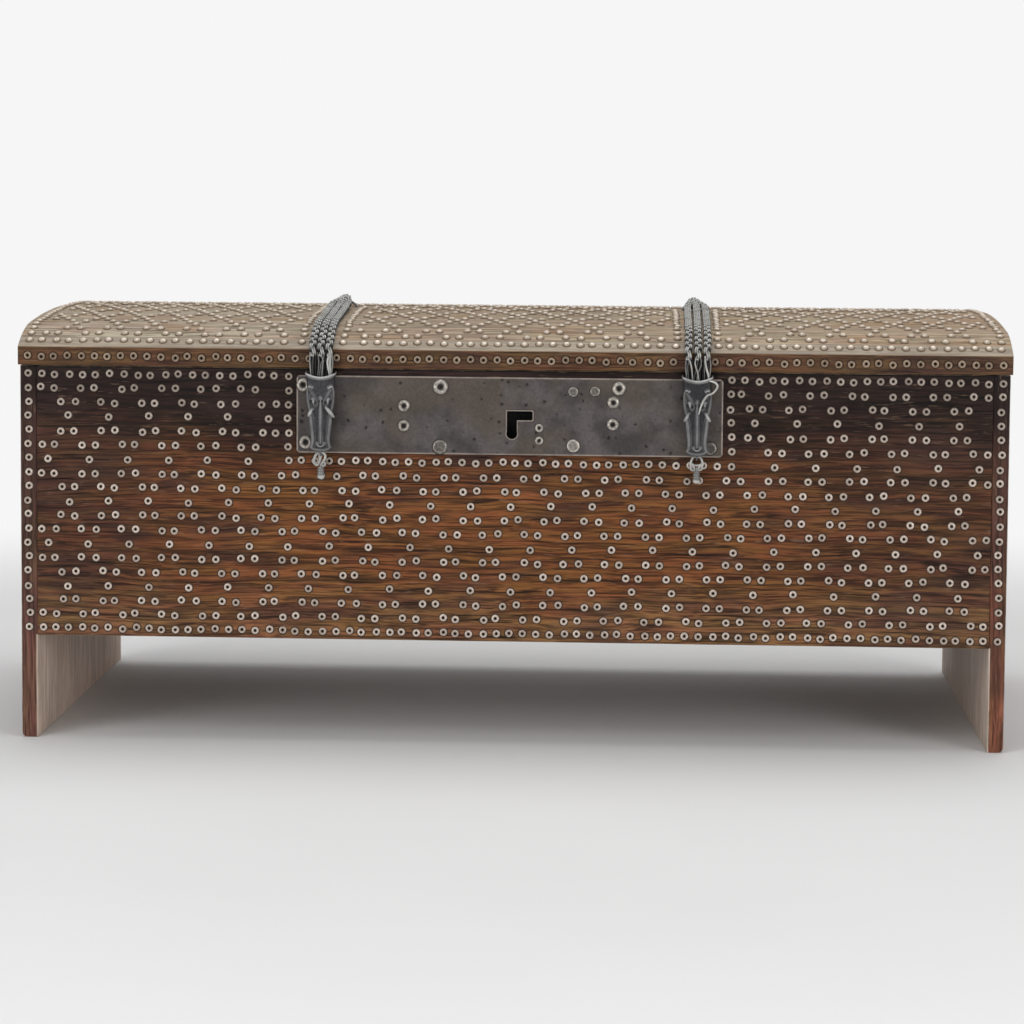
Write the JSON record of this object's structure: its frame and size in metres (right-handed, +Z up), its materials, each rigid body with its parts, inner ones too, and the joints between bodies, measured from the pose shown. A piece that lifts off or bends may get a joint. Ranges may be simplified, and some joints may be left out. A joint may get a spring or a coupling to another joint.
{
  "type": "arabic dowry chest",
  "caption": "Low boarded chest on end-board legs, domed lid, studded trellis, long lock plate and wire cord hasps.",
  "frame": {"origin": "middle of the base, on the floor", "axes": "+X to the chest's right seen from the front, the front faces -Y, +Z up"},
  "size_m": [1.155, 0.5742, 0.5122],
  "materials": {
    "front_wood": "oiled dark brown, worn",
    "end_wood": "oiled dark brown, worn",
    "inner_wood": "dry brown",
    "lid_wood": "worn greyish tan",
    "stud_metal": "worn silvery, grimed dimples",
    "lock_iron": "dark, pitted",
    "hasp_iron": "blue-grey, rubbed edges",
    "hinge_iron": "dark, dull"
  },
  "bodies": {
    "chest": {"back_board": "inner_wood", "body_hinge_nails": "hinge_iron", "floor_board": "inner_wood", "front_board": "front_wood", "front_border_studs": "stud_metal", "front_field_studs": "stud_metal", "left_bolt_guide": "lock_iron", "left_end_board": "end_wood", "left_floor_cleat": "inner_wood", "left_hinge_body_leaf": "hinge_iron", "left_hinge_pin": "hinge_iron", "lock_cover": "lock_iron", "lock_cover_nails": "lock_iron", "lock_plate": "lock_iron", "lock_plate_rivets": "lock_iron", "right_bolt_guide": "lock_iron", "right_end_board": "end_wood", "right_floor_cleat": "inner_wood", "right_hinge_body_leaf": "hinge_iron", "right_hinge_pin": "hinge_iron"},
    "lid": {"left_crest_staple": "hasp_iron", "left_hinge_lid_leaf": "hinge_iron", "lid_back_eaves_board": "lid_wood", "lid_back_rail": "lid_wood", "lid_border_studs": "stud_metal", "lid_crown_board_1": "lid_wood", "lid_crown_board_2": "lid_wood", "lid_crown_board_3": "lid_wood", "lid_field_studs": "stud_metal", "lid_front_eaves_board": "lid_wood", "lid_front_rail": "lid_wood", "lid_hinge_nails": "hinge_iron", "lid_left_gable": "lid_wood", "lid_rail_studs": "stud_metal", "lid_right_gable": "lid_wood", "right_crest_staple": "hasp_iron", "right_hinge_lid_leaf": "hinge_iron"},
    "bolt": {"lock_bolt": "lock_iron"},
    "left_strap": {"left_hasp_eye": "hasp_iron", "left_loose_wires": "hasp_iron", "left_wire_cord_1": "hasp_iron", "left_wire_cord_2": "hasp_iron", "left_wire_cord_3": "hasp_iron"},
    "left_ferrule_body": {"left_ferrule": "hasp_iron", "left_link": "hasp_iron"},
    "left_drop_body": {"left_drop": "hasp_iron"},
    "right_strap": {"right_hasp_eye": "hasp_iron", "right_loose_wires": "hasp_iron", "right_wire_cord_1": "hasp_iron", "right_wire_cord_2": "hasp_iron", "right_wire_cord_3": "hasp_iron"},
    "right_ferrule_body": {"right_ferrule": "hasp_iron", "right_link": "hasp_iron", "right_wire_hook": "hasp_iron"},
    "right_drop_body": {"right_drop": "hasp_iron"}
  },
  "joints": [
    {"name": "lid_hinge", "type": "hinge", "parent": "chest", "child": "lid", "pos_m": [0, 0.277, 0.4402], "axis": [-1, 0, 0], "range_deg": [0, 100]},
    {"name": "lock_bolt_slide", "type": "slide", "parent": "chest", "child": "bolt", "axis": [1, 0, 0], "range_m": [0, 0.01]},
    {"name": "left_hasp_lift", "type": "hinge", "parent": "lid", "child": "left_strap", "pos_m": [-0.2205, 0, 0.50618], "axis": [-1, 0, 0], "range_deg": [0, 110]},
    {"name": "left_ferrule_tilt", "type": "hinge", "parent": "left_strap", "child": "left_ferrule_body", "pos_m": [-0.2205, -0.281, 0.4364], "axis": [-1, 0, 0], "range_deg": [0, 60], "deforming": ["left_loose_wires"]},
    {"name": "left_drop_swing", "type": "hinge", "parent": "left_ferrule_body", "child": "left_drop_body", "pos_m": [-0.2205, -0.281, 0.3296], "axis": [-1, 0, 0], "range_deg": [-10, 50]},
    {"name": "right_hasp_lift", "type": "hinge", "parent": "lid", "child": "right_strap", "pos_m": [0.2153, 0, 0.50618], "axis": [-1, 0, 0], "range_deg": [0, 110]},
    {"name": "right_ferrule_tilt", "type": "hinge", "parent": "right_strap", "child": "right_ferrule_body", "pos_m": [0.2153, -0.281, 0.4364], "axis": [-1, 0, 0], "range_deg": [0, 60], "deforming": ["right_loose_wires"]},
    {"name": "right_drop_swing", "type": "hinge", "parent": "right_ferrule_body", "child": "right_drop_body", "pos_m": [0.2153, -0.281, 0.3296], "axis": [-1, 0, 0], "range_deg": [-10, 50]}
  ]
}
